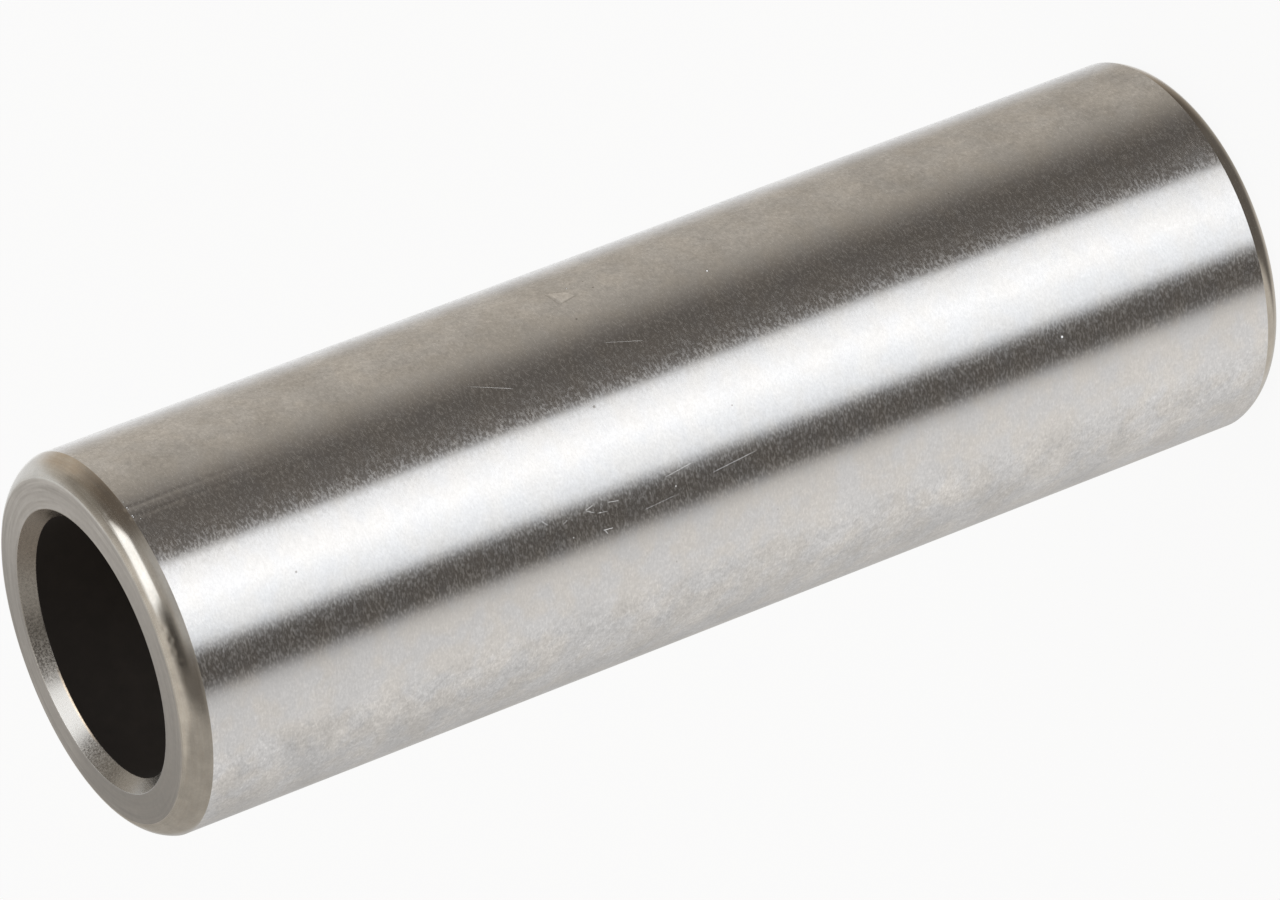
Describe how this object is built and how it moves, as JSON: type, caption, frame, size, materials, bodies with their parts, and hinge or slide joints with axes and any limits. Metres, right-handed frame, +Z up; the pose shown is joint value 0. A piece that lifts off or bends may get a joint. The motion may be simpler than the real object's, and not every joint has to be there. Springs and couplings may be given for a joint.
{
  "type": "gudgeon pin",
  "caption": "Tubular steel gudgeon pin: ground cylinder with crowned outer edges, flat turned ends and a bevelled through bore.",
  "frame": {"origin": "centre of the lower end face, where the pin stands", "axes": "+Z up along the pin's axis; the other end face is at the top, and X and Y lie across the round section"},
  "size_m": [0.022, 0.022, 0.071],
  "materials": {
    "ground_steel": "finely ground round the outside, turned on the end faces and edges, dark inside the bore"
  },
  "bodies": {
    "root": {"gudgeon_pin": "ground_steel"}
  },
  "joints": []
}
